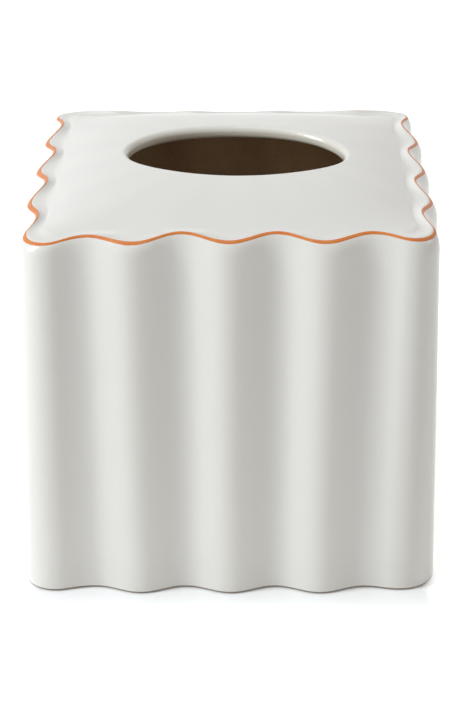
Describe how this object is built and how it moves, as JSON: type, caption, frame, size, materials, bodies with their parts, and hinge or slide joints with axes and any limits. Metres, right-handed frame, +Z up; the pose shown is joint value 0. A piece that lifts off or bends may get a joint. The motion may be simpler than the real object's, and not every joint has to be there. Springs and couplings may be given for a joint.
{
  "type": "tissue box cover",
  "caption": "Square fluted ceramic cover that drops over a cube box of tissues, with an oval opening in its domed top and a painted line round its wavy rim.",
  "frame": {"origin": "on the surface that the cover stands on, at the middle of its square outline", "axes": "+Z up, +X to the right along the longer side of the oval opening, the front faces -Y"},
  "size_m": [0.1524, 0.1524, 0.1411],
  "materials": {
    "white_glaze": "soft gloss white glaze over fired clay",
    "bare_clay": "bare fired clay, ground flat",
    "orange_enamel": "fired orange enamel, soft gloss"
  },
  "bodies": {
    "root": {"fluted_wall": "white_glaze", "domed_top": "white_glaze", "opening_lip": "white_glaze", "foot_ring": "bare_clay", "rim_line": "orange_enamel"}
  },
  "joints": []
}
